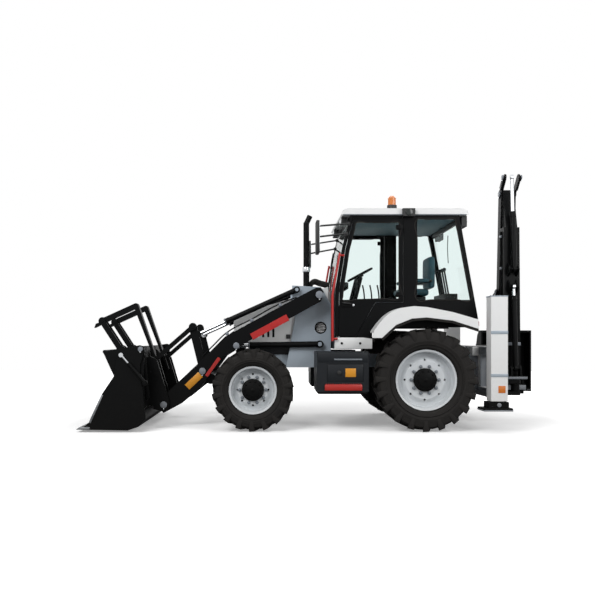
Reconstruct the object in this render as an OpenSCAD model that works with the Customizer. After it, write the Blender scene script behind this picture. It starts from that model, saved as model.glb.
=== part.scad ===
// Backhoe loader: front loader with a clam bucket and folded forks, folded backhoe on a sideshift frame.
// Millimetres, +Z up, front towards -X, ground at Z = 0, middle of the overall length at X = 0.

/* [Wheels] */
// Distance between the axles
wheelbase = 2200; // [2150:5:2250]
// Rear tyre diameter over the lugs
rear_tyre_d = 1310; // [1280:5:1330]
// Rear tyre width
rear_tyre_w = 430; // [400:5:440]
// Rear wheel centre to the middle of the machine
rear_track_half = 940; // [930:5:950]
// Front tyre diameter over the lugs
front_tyre_d = 1050; // [1030:5:1060]
// Front tyre width
front_tyre_w = 400; // [370:5:410]
// Front wheel centre to the middle of the machine
front_track_half = 930; // [920:5:945]
// Steering pivot to the middle of the machine
kingpin_half = 700; // [690:5:710]
// Height of the tread lugs
lug_h = 38; // [25:1:45]

/* [Loader] */
// Loader arm pivot, forward of the rear axle
arm_pivot_fwd = 1325; // [1310:5:1340]
// Loader arm pivot height
arm_pivot_z = 1765; // [1755:5:1785]
// Inner face of each loader arm from the middle
arm_in = 540; // [538:1:550]
// Thickness of each loader arm
arm_t = 110; // [95:5:115]
// Half width of the loader bucket over its cheeks
bucket_half = 1160; // [1100:5:1170]
// Clearance under the bucket floor
bucket_clear = 25; // [15:1:40]

/* [Cab and hood] */
// Half width of the cab over its posts
cab_half = 780; // [760:5:790]
// Top of the roof
roof_top = 2890; // [2870:5:2920]
// Half width of the hood
hood_half = 365; // [340:5:370]
// Half width over the rear fenders
fender_half = 1110; // [1090:5:1130]

/* [Backhoe] */
// Boom foot pin behind the rear axle
boom_foot_x = 1580; // [1575:1:1590]
// Boom foot pin height
boom_foot_z = 480; // [475:1:490]
// Swing axis behind the rear axle
swing_x = 1420; // [1415:1:1422]
// Place of the sideshift carriage to the left of the middle
carriage_left = 250; // [200:10:300]
// Half width of the boom and of the dipper
boom_half = 110; // [100:1:114]
// Half width of the rear bucket
dig_half = 360; // [340:5:365]
// Middle of each stabiliser leg from the middle of the machine
leg_half = 1100; // [1080:5:1110]

/* [Fits] */
// Running clearance of a pin in its bore, on the radius
pin_gap = 0.5; // [0.3:0.1:1]
// Running clearance of a sliding leg or carriage
slide_gap = 0.4; // [0.3:0.1:1]
// Clearance between pieces that move past each other
side_gap = 8; // [6:1:10]

/* [Hidden] */
$fn = 48;

white = "#e8e9eb";
grey = "#b4b8bc";
black = "#1c1e20";
slate = "#303b44";
red = "#b3282c";
orange = "#e0761c";
yellow = "#d9b23a";
teal = "#3c6f70";
silver = "#c9ccd0";

// Ends of the machine, forward of and behind the rear axle
tip_fwd = 4420;
dig_rear = swing_x + dig_half;
head_half = boom_half - 30;
ear_in = head_half + 6;
axle_x = (tip_fwd - dig_rear) / 2;

// Pins in the side plane, as [x from the rear axle, z]
arm_pivot = [-arm_pivot_fwd, arm_pivot_z];
lever_pivot = arm_pivot + [-1555, -1015];
link_top = lever_pivot + [-145, 590];
tilt_eye = lever_pivot + [-85, 490];
tilt_base = arm_pivot + [-293, 82];
lift_base = arm_pivot + [20, -658];
lift_eye = arm_pivot + [-1105, -677];
bucket_pin = arm_pivot + [-2065, -1460];
link_low = bucket_pin + [-145, 590];
clam_pin = bucket_pin + [-220, 745];
clam_base = clam_pin + [63, -424];
clam_eye = clam_pin + [-238, -73];
fork_pin = clam_pin + [-656, 373];
hood_pin = [-1565, 1790];
boom_foot = [boom_foot_x, boom_foot_z];
boom_knee = boom_foot + [50, 2270];
boom_head = boom_foot + [165, 2770];
dipper_tail = boom_head + [-190, 200];
dipper_tip = boom_head + [115, -1760];
boom_base = boom_foot + [-180, 290];
boom_eye = boom_foot + [-99, 1424];
crowd_base = boom_foot + [-130, 1670];
lever_dip = dipper_tip + [-20, 360];
lever_tip = lever_dip + [154, -72];
dig_ear = dipper_tip + [80, -100];
dig_base = dipper_tip + [30, 1250];

// Planes across the machine
arm_out = arm_in + arm_t;
lever_in = arm_in - 60;
lever_t = 20;
link_in = lever_in + lever_t + 4;
link_t = 30;
eye_y = lever_in - 26;
tower_in = hood_half + 15;
tower_out = tower_in + 28;
kingpin_x = -wheelbase;

// Towing eye at the front of the frame
tow_x = -2520;
tow_t = 30;
tow_r = 16;

function unit(a, b) = (b - a) / norm(b - a);
function side(a, b) = [-unit(a, b).y, unit(a, b).x];
function along(a, b, d) = a + unit(a, b) * d;

// Moves what is measured from the rear axle into the machine's frame
module from_axle() {
    translate([axle_x, 0, 0]) children();
}

// The same shape on both sides
module both_sides() {
    children();
    mirror([0, 1, 0]) children();
}

// A side-view shape made solid between two planes across the machine
module across(y0, y1) {
    translate([0, y1, 0]) rotate([90, 0, 0]) linear_extrude(y1 - y0) children();
}

// A round pin or boss across the machine
module pin_y(p, r, y0, y1) {
    translate([p.x, y1, p.y]) rotate([90, 0, 0]) cylinder(h = y1 - y0, r = r);
}

// A box from its low corner to its high corner
module box(a, b) {
    translate(a) cube(b - a);
}

// A side-view bar between two points
module bar2(a, b, w) {
    s = side(a, b) * w / 2;
    polygon([a + s, b + s, b - s, a - s]);
}

// A side-view bar with round ends
module link2(a, b, w, ra, rb) {
    bar2(a, b, w);
    translate(a) circle(ra);
    translate(b) circle(rb);
}

// A round bar in the side plane, at y
module rod_xz(a, b, r, y) {
    translate([a.x, y, a.y]) rotate([0, atan2(b.x - a.x, b.y - a.y), 0]) cylinder(h = norm(b - a), r = r);
}

// A cylinder's barrel: an eye at its base pin and a bored tube
module barrel(a, b, len, r, bore, y, eye_r) {
    difference() {
        union() {
            rod_xz(a, along(a, b, len), r, y);
            rod_xz(along(a, b, len - 60), along(a, b, len + 12), r + 5, y);
            pin_y(a, eye_r, y - 20, y + 20);
        }
        rod_xz(along(a, b, 60), along(a, b, len + 20), bore, y);
    }
}

// A cylinder's rod with its eye
module piston_rod(a, b, inner, r, y, eye_r) {
    rod_xz(along(a, b, inner), b, r, y);
    pin_y(b, eye_r, y - 18, y + 18);
}

// Tyre with chevron lugs, axis along Y
module tyre(d, w, rim_d, lugs) {
    r = d / 2;
    c = r - lug_h;
    rb = rim_d / 2;
    step = 360 / lugs;
    lug_w = PI * d / lugs * 0.4;
    lug_reach = lug_w / 2 + w * 0.14;
    lug_top = sqrt(r * r - lug_reach * lug_reach);
    rotate([90, 0, 0]) rotate_extrude() polygon([
        [rb, -w * 0.34], [rb + 14, -w * 0.34], [rb + 40, -w * 0.44], [(rb + c) / 2, -w / 2], [c - 25, -w * 0.46], [c, -w * 0.38],
        [c, w * 0.38], [c - 25, w * 0.46], [(rb + c) / 2, w / 2], [rb + 40, w * 0.44], [rb + 14, w * 0.34],
        [rb, w * 0.34]]);
    for (i = [0 : lugs - 1], s = [-1, 1])
        rotate([0, i * step + s * step / 4, 0])
            translate([0, 0, c - 20])
            linear_extrude(lug_top - c + 20)
            polygon([[-lug_w / 2, -s * w * 0.02], [lug_w / 2, -s * w * 0.02],
                [lug_w / 2 + w * 0.14, s * w * 0.44], [-lug_w / 2 + w * 0.14, s * w * 0.44]]);
}

// Dished wheel with a hub, the outer face towards -Y
module rim(rim_d, w, dish, hub_d) {
    r = rim_d / 2 - 0.5;
    difference() {
        rotate([90, 0, 0]) rotate_extrude() polygon([
            [0, dish - 20], [r * 0.62, dish - 20], [r * 0.74, dish - 60], [r - 45, dish - 70], [r - 22, -w * 0.33],
            [r + 12, -w * 0.37], [r + 12, -w * 0.345], [r, -w * 0.345], [r, w * 0.345],
            [r + 12, w * 0.345], [r + 12, w * 0.37], [r - 14, w * 0.35], [r - 30, dish - 30], [r * 0.8, dish - 20],
            [r * 0.66, dish + 10], [0, dish + 10]]);
        for (i = [0 : 7])
            rotate([0, i * 45, 0])
                translate([r * 0.68, 0, 0]) rotate([90, 0, 0]) cylinder(h = 400, r = 14, center = true);
    }
    translate([0, -dish - 9, 0]) rotate([90, 0, 0]) cylinder(h = 46, r = hub_d / 2);
    for (i = [0 : 9])
        rotate([0, i * 36, 0])
            translate([hub_d * 0.68, -dish - 9, 0]) rotate([90, 0, 0]) cylinder(h = 14, r = 13);
}

front_rim_d = front_tyre_d * 0.56;
rear_rim_d = rear_tyre_d * 0.575;

module tyre_front_left() {
    color(black) from_axle() translate([kingpin_x, -front_track_half, front_tyre_d / 2])
        tyre(front_tyre_d, front_tyre_w, front_rim_d, 18);
}

module tyre_front_right() {
    mirror([0, 1, 0]) tyre_front_left();
}

module tyre_rear_left() {
    color(black) from_axle() translate([0, -rear_track_half, rear_tyre_d / 2])
        tyre(rear_tyre_d, rear_tyre_w, rear_rim_d, 20);
}

module tyre_rear_right() {
    mirror([0, 1, 0]) tyre_rear_left();
}

module rim_front_left() {
    color(white) from_axle() translate([kingpin_x, -front_track_half, front_tyre_d / 2])
        rim(front_rim_d, front_tyre_w, 40, 250);
}

module rim_front_right() {
    mirror([0, 1, 0]) rim_front_left();
}

module rim_rear_left() {
    color(white) from_axle() translate([0, -rear_track_half, rear_tyre_d / 2])
        rim(rear_rim_d, rear_tyre_w, 60, 260);
}

module rim_rear_right() {
    mirror([0, 1, 0]) rim_rear_left();
}

// Front beam and rear housing
module axles() {
    front_axle();
    rear_axle();
}

// Two rails, cross members and the loader towers
module main_frame() {
    color(grey) from_axle() {
        both_sides() box([-2440, 240, 790], [780, 300, 960]);
        for (x = [-2440, -2250, -1750, -700, 640])
            box([x, -240, 800], [x + 90, 240, 840]);
        difference() {
            box([tow_x - 50, -60, 800], [-2440, 60, 800 + tow_t]);
            translate([tow_x, 0, 799]) cylinder(h = tow_t + 2, r = tow_r);
        }
        both_sides() {
            difference() {
                across(tower_in, tower_out) polygon([[-1760, 790], [-1150, 790], [-1150, 1650],
                    arm_pivot + [110, 0], arm_pivot + [40, 120], tilt_base + [-60, 60], tilt_base + [-60, -70],
                    [-1640, 1450]]);
                pin_y([-1290, 1330], 75, tower_in - 1, tower_out + 1);
            }
            box([-1760, 300, 790], [-1150, tower_in, 850]);
            pin_y(arm_pivot, 55, tower_out, arm_in - side_gap);
            pin_y(arm_pivot, 38, tower_out, arm_out + 20);
            pin_y(tilt_base, 24, tower_out, eye_y + 30);
            pin_y(lift_base, 28, tower_out, eye_y + 32);
        }
    }
}

// One plain block
module engine_block() {
    color(slate) from_axle() box([-2120, -225, 850], [-1350, 225, 1380]);
}

// Beam on its centre trunnion, forked round each kingpin
module front_axle() {
    color(black) from_axle() translate([kingpin_x, 0, front_tyre_d / 2]) {
        box([-90, -560, -85], [90, 560, 70]);
        translate([-130, 0, -5]) rotate([0, 90, 0]) cylinder(h = 260, r = 120);
        box([-40, -150, 60], [40, 150, 799 - front_tyre_d / 2]);
        both_sides() for (z = [-115, 85])
            difference() {
                union() {
                    box([-75, 500, z], [75, kingpin_half, z + 30]);
                    translate([0, kingpin_half, z]) cylinder(h = 30, r = 75);
                    box([-75, 500, min(z, -85)], [75, 560, max(z + 30, 70)]);
                }
                translate([0, kingpin_half, z - 1]) cylinder(h = 32, r = 28 + pin_gap);
            }
    }
}

// Steering knuckle with its kingpin and stub axle
module knuckle() {
    translate([kingpin_x, 0, front_tyre_d / 2]) {
        translate([0, -kingpin_half, -78]) cylinder(h = 156, r = 72);
        translate([0, -kingpin_half, -125]) cylinder(h = 250, r = 28);
        translate([0, -kingpin_half, 0]) rotate([90, 0, 0]) cylinder(h = 170, r = 62);
        box([0, -kingpin_half - 20, -40], [210, -kingpin_half + 20, 0]);
    }
}

module knuckle_left() {
    color(black) from_axle() knuckle();
}

module knuckle_right() {
    mirror([0, 1, 0]) knuckle_left();
}

// Banjo housing with trumpet arms
module rear_axle() {
    color(black) from_axle() translate([0, 0, rear_tyre_d / 2]) {
        rotate([0, 90, 0]) translate([0, 0, -200]) cylinder(h = 400, r = 225);
        both_sides() rotate([-90, 0, 0]) {
            cylinder(h = 560, r = 120);
            translate([0, 0, 560]) cylinder(h = rear_track_half - 560 - 70, r = 150);
        }
    }
}

// Boxes under the doors, each with a recess, a step groove and a red step
module side_boxes() {
    from_axle() both_sides() {
        color(slate) difference() {
            box([-1380, 420, 499], [-713, 1000, 1013]);
            box([-1240, 975, 900], [-790, 1001, 930]);
            box([-1250, 990, 620], [-780, 1001, 860]);
            box([-1240, 850, 520], [-800, 1001, 600]);
        }
        color(red) box([-1240, 852, 520], [-800, 1010, 560]);
        color(grey) box([-1140, 300, 800], [-760, 420, 900]);
    }
}

// Fixed cowl between the hood and the cab
module cowl() {
    color(white) from_axle() difference() {
        across(-hood_half, hood_half) polygon([[-1545, 970], [-1185, 970], [-1185, 1893], [-1545, 1780]]);
        across(-hood_half + 12, hood_half - 12) polygon([[-1546, 969], [-1200, 969], [-1200, 1876], [-1546, 1766]]);
        translate([-1480, -300, 1700]) cylinder(h = 300, r = 52);
    }
}

// Nose frame with radiator, grille bars and two headlamps
module nose() {
    from_axle() {
        color(black) difference() {
            box([-2450, -330, 965], [-2400, 330, 1440]);
            box([-2451, -290, 1000], [-2420, 290, 1300]);
        }
        color(grey) for (z = [1030 : 45 : 1270])
            box([-2446, -290, z], [-2426, 290, z + 14]);
        color(silver) both_sides() translate([-2452, 200, 1375]) rotate([0, 90, 0]) cylinder(h = 20, r = 48);
        color(black) box([-2395, -300, 965], [-2330, 300, 1400]);
    }
}

hood_front = -2475;
hood_top = [[hood_front, 1480], [hood_front + 60, 1512], [hood_pin.x + 12, 1774]];

// Sloped hood, open below and in front
module hood() {
    color(white) from_axle() difference() {
        across(-hood_half, hood_half)
            polygon(concat([[hood_pin.x + 12, 1120], [hood_front, 1120]], hood_top));
        across(-hood_half + 14, hood_half - 14) polygon([[hood_pin.x + 13, 1119], [hood_front - 1, 1119],
            [hood_front - 1, 1455], [hood_front + 66, 1494], [hood_pin.x + 13, 1758]]);
        both_sides() for (i = [0 : 5])
            box([-2300 + i * 70, hood_half - 20, 1200], [-2270 + i * 70, hood_half + 1, 1360]);
    }
}

// Stack with a heat shield and an angled tip
module exhaust() {
    color(black) from_axle() translate([-1480, -300, 0]) {
        translate([0, 0, 1400]) cylinder(h = 700, r = 42);
        translate([0, 0, 2100]) cylinder(h = 60, r = 50);
        translate([0, 0, 2160]) cylinder(h = 620, r = 40);
        translate([0, 0, 2765]) rotate([0, 25, 0]) cylinder(h = 120, r = 37);
    }
}

cab_wall = 40;
cab_in = cab_half - cab_wall;
a_post = [[-1135, 1046], [-1118, 1861], [-1036, 2370], [-925, 2800]];
rear_post = [[500, 2800], [540, 2600], [750, 1446], [750, 1330]];
door_outline = [[-1080, 1209], [-1066, 1855], [-986, 2365], [-886, 2760], [-235, 2760], [-235, 1660],
    [-600, 1660], [-860, 1209]];
door_window = [[-1030, 1690], [-1016, 1855], [-940, 2350], [-848, 2705], [-290, 2705], [-290, 1710]];
rear_window = [[-50, 1690], [-50, 2750], [445, 2750], [485, 2580], [652, 1690]];

// Posts, sills, floor, front and rear panels
module cab_frame() {
    color(white) from_axle() {
        both_sides() difference() {
            across(cab_in, cab_half) polygon(concat(a_post, rear_post, [[-640, 1330], [-640, 1046]]));
            across(cab_in - 1, cab_half + 1) offset(delta = 5) polygon(door_outline);
            across(cab_in - 1, cab_half + 1) polygon(rear_window);
        }
        box([-1110, -cab_in, 1046], [-640, cab_in, 1086]);
        box([-680, -cab_in, 1086], [-640, cab_in, 1400]);
        box([-680, -cab_in, 1400], [745, cab_in, 1430]);
        across(-cab_in, cab_in) polygon([[-1135, 1046], [-1110, 1046], [-1093, 1861], [-1118, 1861]]);
        across(-cab_in, cab_in) polygon([[725, 1430], [750, 1430], [712, 1650], [687, 1650]]);
        across(-cab_in, cab_in) polygon([[-950, 2700], [-925, 2800], [-860, 2800], [-890, 2700]]);
        across(-cab_in, cab_in) polygon([[470, 2800], [500, 2800], [520, 2700], [490, 2700]]);
    }
}

// Roof cap with a dark headliner and the rear overhang
module cab_roof() {
    from_axle() {
        color(white) across(-cab_half - 20, cab_half + 20) polygon([[-1040, 2812], [-1020, 2870], [-960, roof_top],
            [540, roof_top], [600, 2865], [620, 2812], [600, 2800], [-1030, 2800]]);
        color(teal) box([-840, -cab_in + 20, 2760], [440, cab_in - 20, 2800]);
    }
}

// Windscreen, rear window and rear side windows
module cab_glass() {
    color(teal) from_axle() {
        across(-cab_in + 3, cab_in - 3) bar2([-1100, 1872], [-1020, 2372], 8);
        across(-cab_in + 3, cab_in - 3) bar2([-1020, 2372], [-946, 2694], 8);
        across(-cab_in + 3, cab_in - 3) bar2([694, 1660], [511, 2694], 8);
        both_sides() across(cab_half - 26, cab_half - 18) polygon(rear_window);
    }
}

// Door with its window cut, hinged on the middle post
module door_left() {
    color(black) from_axle() mirror([0, 1, 0]) {
        difference() {
            across(cab_half - 34, cab_half + 4) polygon(door_outline);
            across(cab_half - 35, cab_half + 5) polygon(door_window);
        }
        box([-1040, cab_half + 4, 1600], [-900, cab_half + 22, 1640]);
    }
}

module door_right() {
    mirror([0, 1, 0]) door_left();
}

module door_glass_left() {
    color(teal) from_axle() mirror([0, 1, 0])
        across(cab_half - 20, cab_half - 12) polygon(door_window);
}

module door_glass_right() {
    mirror([0, 1, 0]) door_glass_left();
}

fender_top = [[-665, 1278], [-600, 1370], [-513, 1468], [-430, 1530], [-336, 1569], [-159, 1594], [5, 1582],
    [334, 1518], [655, 1424]];
fender_low = [[663, 1304], [334, 1411], [5, 1450], [-184, 1436], [-387, 1354], [-564, 1190], [-680, 1190]];

// Rear fenders, a skin with a deep outer skirt
module fenders() {
    color(white) from_axle() both_sides() {
        across(cab_half + 2, fender_half) polygon(concat(fender_top,
            [for (i = [len(fender_top) - 1 : -1 : 0]) fender_top[i] + [0, -22]]));
        across(fender_half - 26, fender_half) polygon(concat(fender_top, fender_low));
    }
}

// Seat on its pedestal
module seat() {
    color(black) from_axle() {
        box([-120, -170, 1430.5], [200, 170, 1760]);
        box([-190, -240, 1760], [260, 240, 1880]);
        translate([200, 0, 1860]) rotate([0, 8, 0]) box([0, -230, 0], [120, 230, 480]);
        both_sides() box([-130, 250, 1960], [220, 310, 2010]);
        box([150, -310, 1960], [250, 310, 2000]);
    }
}

// A round bar between two points
module rod3(a, b, r) {
    d = b - a;
    translate(a) rotate([0, acos(d.z / norm(d)), atan2(d.y, d.x)]) cylinder(h = norm(d), r = r);
}

// Wheel rim on a raked column
module steering_wheel() {
    color(black) from_axle() {
        rod3([-955, 0, 1110], [-715, 0, 2060], 55);
        translate([-955, 0, 1086]) cylinder(h = 50, r = 80);
        translate([-700, 0, 2090]) rotate([0, -28, 0]) {
            rotate_extrude() translate([185, 0]) circle(16);
            for (i = [0 : 2])
                rotate([0, 0, i * 120]) translate([0, -14, -8]) cube([185, 28, 16]);
            translate([0, 0, -40]) cylinder(h = 50, r = 40);
        }
    }
}

// Backhoe levers on their console behind the seat
module console() {
    color(slate) from_axle() {
        box([430, -330, 1430.5], [600, 330, 1800]);
        for (y = [-240 : 120 : 240])
            rod3([500, y, 1790], [440, y, 2130], 12);
        for (y = [-240 : 120 : 240])
            translate([440, y, 2140]) sphere(26);
    }
}

// Work lamps under the roof's rear edge, at its front and above each middle post
module lamps() {
    color(black) from_axle() {
        both_sides() box([545, 500, 2660], [615, 740, 2799.5]);
        both_sides() box([-250, cab_half + 20.5, 2778], [-90, cab_half + 80, 2880]);
        both_sides() box([-1030, 420, 2700], [-960, 640, 2799.5]);
    }
}

module lamps_and_mirrors() {
    lamps();
    mirrors();
}

// Steering wheel and backhoe levers
module cab_controls() {
    steering_wheel();
    console();
}

// Amber beacon on a black foot
module beacon() {
    from_axle() translate([-350, -600, roof_top]) {
        color(black) translate([0, 0, 0.2]) cylinder(h = 60, r = 62);
        color(orange) translate([0, 0, 60]) cylinder(h = 110, r = 54);
        color(orange) translate([0, 0, 170]) cylinder(h = 26, r1 = 54, r2 = 30);
    }
}

// Mirror plates on two arms each
module mirrors() {
    color(black) from_axle() both_sides() {
        box([-1385, 850, 2275], [-1350, 1050, 2690]);
        for (i = [0, 1]) {
            rod3([-975 + i * 28, cab_half + 12, 2560 + i * 130], [-1360, 900, 2500 + i * 140], 12);
            box([-1000 + i * 28, cab_half, 2535 + i * 130], [-958 + i * 28, cab_half + 16, 2580 + i * 130]);
        }
    }
}

// Red rails beside the doors
module grab_rails() {
    color(red) from_axle() both_sides() {
        rod3([-1165, cab_half + 45, 1150], [-1165, cab_half + 45, 1750], 17);
        rod3([-1168, cab_half + 45, 1735], [-1070, cab_half + 45, 2300], 15);
        rod3([-1165, cab_half + 45, 1180], [-1105, cab_half + 45, 1180], 13);
        rod3([-1108, cab_half + 50, 1180], [-1108, cab_half, 1180], 14);
        rod3([-1076, cab_half + 45, 2270], [-1018, cab_half + 45, 2270], 12);
        rod3([-1020, cab_half + 50, 2270], [-1020, cab_half, 2270], 13);
    }
}

function at(base, list) = [for (p = list) base + p];

arm_shape = at(arm_pivot, [[-2105, -1535], [-2075, -1575], [-1831, -1444], [-1591, -1250], [-1297, -837],
    [-888, -585], [25, -85], [60, 40], [20, 95], [-45, 95], [-455, -121], [-1257, -557], [-1578, -883],
    [-1838, -1123], [-2115, -1385]]);
tube_at = lever_pivot + [100, -110];

// Two arms joined by a cross tube
module loader_arms() {
    color(black) from_axle() {
        both_sides() {
            difference() {
                across(arm_in, arm_out) polygon(arm_shape);
                pin_y(arm_pivot, 38 + pin_gap, arm_in - 1, arm_out + 1);
                pin_y(bucket_pin, 35 + pin_gap, arm_in - 1, arm_out + 1);
            }
            pin_y(lever_pivot, 30, lever_in - 8, arm_in + 5);
            pin_y(lift_eye, 34, lever_in + 4, arm_in + 5);
        }
        pin_y(tube_at, 70, -arm_in - 5, arm_in + 5);
    }
}

// Red strut stowed on the left arm, with its yellow patch
module safety_strut() {
    from_axle() mirror([0, 1, 0]) {
        color(red) across(arm_out, arm_out + 30) bar2(arm_pivot + [-900, -560], arm_pivot + [-420, -300], 90);
        color(red) across(arm_out, arm_out + 22) bar2(arm_pivot + [-1500, -1080], arm_pivot + [-1330, -840], 44);
        color(yellow) across(arm_out + 30, arm_out + 34) bar2(arm_pivot + [-640, -415], arm_pivot + [-540, -361], 60);
    }
}

// Levers that carry the tilt from the cylinders to the links
module tilt_levers() {
    color(black) from_axle() both_sides() {
        difference() {
            across(lever_in, lever_in + lever_t) {
                link2(lever_pivot, link_top, 110, 72, 55);
                translate(tilt_eye) circle(52);
            }
            pin_y(lever_pivot, 30 + pin_gap, lever_in - 1, lever_in + lever_t + 1);
        }
        pin_y(link_top, 24, lever_in + lever_t - 5, link_in + link_t + 2);
    }
}

// Links from the levers down to the bucket
module tilt_links() {
    color(black) from_axle() both_sides() difference() {
        across(link_in, link_in + link_t) link2(link_top, link_low, 60, 46, 46);
        pin_y(link_top, 24 + pin_gap, link_in - 1, link_in + link_t + 1);
    }
}

module lift_barrels() {
    color(black) from_axle() both_sides() difference() {
        barrel(lift_base, lift_eye, 960, 40, 30, eye_y, 50);
        pin_y(lift_base, 28 + pin_gap, eye_y - 60, eye_y + 60);
    }
}

module lift_rods() {
    color(silver) from_axle() both_sides() piston_rod(lift_base, lift_eye, 200, 26, eye_y, 42);
}

module tilt_barrels() {
    color(black) from_axle() both_sides() difference() {
        barrel(tilt_base, tilt_eye, 1060, 36, 26, eye_y, 44);
        pin_y(tilt_base, 24 + pin_gap, eye_y - 60, eye_y + 60);
    }
}

module tilt_rods() {
    color(silver) from_axle() both_sides() piston_rod(tilt_base, tilt_eye, 330, 20, eye_y, 40);
}

cheek_in = bucket_half - 55;
cheek_out = bucket_half - 30;
clam_cheek_in = bucket_half - 20;
clam_cyl_y = bucket_half + 32;
fork_y = 380;
fork_w = 100;
floor_z = bucket_clear;
tip_x = -tip_fwd;
heel_x = bucket_pin.x - 155;

// Back half of the clam bucket with its hinge ears and fork brackets
module loader_bucket() {
    color(black) from_axle() {
        across(-cheek_out, cheek_out) {
            bar2(clam_pin + [-60, 20], clam_pin + [15, -740], 25);
            bar2(clam_pin + [-476, -45], clam_pin + [-60, 20], 28);
        }
        both_sides() {
            across(cheek_in, cheek_out) polygon(at(clam_pin, [[-476, -45], [-345, -335], [-120, -430], [-15, -480],
                [15, -740], [45, -640], [30, -380], [45, 0], [20, 40], [-30, 45], [-200, 20]]));
            pin_y(clam_pin, 26, cheek_out - 5, bucket_half + 6);
            pin_y(clam_base, 20, cheek_out - 5, clam_cyl_y + 24);
            for (y = [arm_in - 80, arm_out + 10])
                across(y, y + 30) polygon(at(bucket_pin, [[-205, -5], [-235, 625], [-180, 645], [-90, 595], [80, 30],
                    [60, -65], [-10, -90], [-140, -55], [-140, -5]]));
            pin_y(bucket_pin, 35, arm_in - 80, arm_out + 40);
            pin_y(link_low, 34, arm_in - 55, link_in - 4);
            for (y = [fork_y - fork_w / 2 - 30, fork_y + fork_w / 2 + 8])
                across(y, y + 22) link2(clam_pin + [-400, -20], fork_pin, 75, 60, 46);
            pin_y(fork_pin, 24, fork_y - fork_w / 2 - 34, fork_y + fork_w / 2 + 34);
        }
    }
}

// Front half: floor, cutting edge, heel and cheeks, hung from the top pins
module clam() {
    color(black) from_axle() {
        across(-bucket_half, bucket_half) polygon([[tip_x, floor_z + 12], [heel_x - 228, floor_z],
            [heel_x - 95, floor_z + 45], [heel_x, floor_z + 150], [heel_x - 15, 285], [heel_x - 45, 285],
            [heel_x - 30, floor_z + 165], [heel_x - 115, floor_z + 75], [heel_x - 235, floor_z + 35],
            [tip_x + 40, floor_z + 40]]);
        both_sides() {
            difference() {
                across(clam_cheek_in, bucket_half) polygon(concat([[tip_x + 60, floor_z + 20],
                    [heel_x - 228, floor_z + 10], [heel_x - 100, floor_z + 55], [heel_x - 20, floor_z + 160],
                    [heel_x - 30, 500]],
                    at(clam_pin, [[-10, -330], [-5, -200], [45, -20], [40, 35], [-10, 50], [-60, 40], [-290, -60],
                    [-339, -345], [-494, -575], [-589, -780], [-652, -925]])));
                pin_y(clam_pin, 26 + pin_gap, cheek_out, bucket_half + 1);
            }
            pin_y(clam_eye, 20, bucket_half - 5, bucket_half + 8);
            for (x = [tip_x + 60, tip_x + 250])
                across(bucket_half - 130, bucket_half) polygon([[x, floor_z + 30], [x + 30, floor_z + 30],
                    [x + 30, floor_z + 45], [x, floor_z + 45]]);
        }
    }
}

module clam_barrels() {
    color(black) from_axle() both_sides() difference() {
        union() {
            rod_xz(clam_base, along(clam_base, clam_eye, 330), 24, clam_cyl_y);
            pin_y(clam_base, 34, clam_cyl_y - 18, clam_cyl_y + 18);
        }
        rod_xz(along(clam_base, clam_eye, 60), along(clam_base, clam_eye, 340), 16, clam_cyl_y);
        pin_y(clam_base, 20 + pin_gap, clam_cyl_y - 40, clam_cyl_y + 40);
    }
}

module clam_rods() {
    color(silver) from_axle() both_sides() {
        rod_xz(along(clam_base, clam_eye, 90), clam_eye, 13, clam_cyl_y);
        pin_y(clam_eye, 28, clam_cyl_y - 16, clam_cyl_y + 16);
    }
}

fork_heel = fork_pin + [456, 207];
fork_end = fork_heel + [330, -900];

// Flip-over forks, folded back behind the bucket's lip
module forks() {
    color(black) from_axle() both_sides() difference() {
        across(fork_y - fork_w / 2, fork_y + fork_w / 2) {
            link2(fork_pin, fork_heel, 70, 52, 35);
            polygon([fork_heel + [-34, 0], fork_heel + [34, 10], fork_end + [12, 4], fork_end + [-10, -4]]);
            translate(fork_pin) polygon([[0, 0], [-90, -40], [-110, -95], [-40, -60]]);
        }
        pin_y(fork_pin, 24 + pin_gap, fork_y - fork_w, fork_y + fork_w);
    }
}

frame_rear = 1000;
leg_x0 = 790;
leg_x1 = 1000;

// Sideshift frame with its rails and the stabiliser housings
module rear_frame() {
    color(white) from_axle() {
        for (z = [410, 960])
            box([frame_rear - 120, -leg_half + 95, z], [frame_rear, leg_half - 95, z + 120]);
        both_sides() {
            difference() {
                box([leg_x0, leg_half - 95, 395], [leg_x1, leg_half + 95, 1714]);
                box([leg_x0 + 25, leg_half - 70, 394], [leg_x1 - 10, leg_half + 70, 1690]);
            }
            box([frame_rear - 110, 230, 525], [frame_rear - 20, 420, 965]);
            box([780, 240, 790], [frame_rear - 100, 300, 960]);
            box([790, 250, 950], [frame_rear - 115, 380, 1070]);
        }
    }
}

// The carriage's place on the slide frame
module shifted() {
    translate([0, -carriage_left, 0]) children();
}

// The backhoe, drawn straight back and folded across the machine
module swung() {
    translate([swing_x, -carriage_left, 0]) rotate([0, 0, 90]) translate([-swing_x, 0, 0]) children();
}

// Stabiliser leg with its foot
module leg_left() {
    color(black) from_axle() translate([0, -leg_half, 0]) {
        box([leg_x0 + 25 + slide_gap, -70 + slide_gap, 330], [leg_x1 - 10 - slide_gap, 70 - slide_gap, 1500]);
        box([690, -140, 275], [1050, 140, 310]);
        box([760, -110, 310], [1010, 110, 386]);
    }
}

module leg_right() {
    mirror([0, 1, 0]) leg_left();
}

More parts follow.
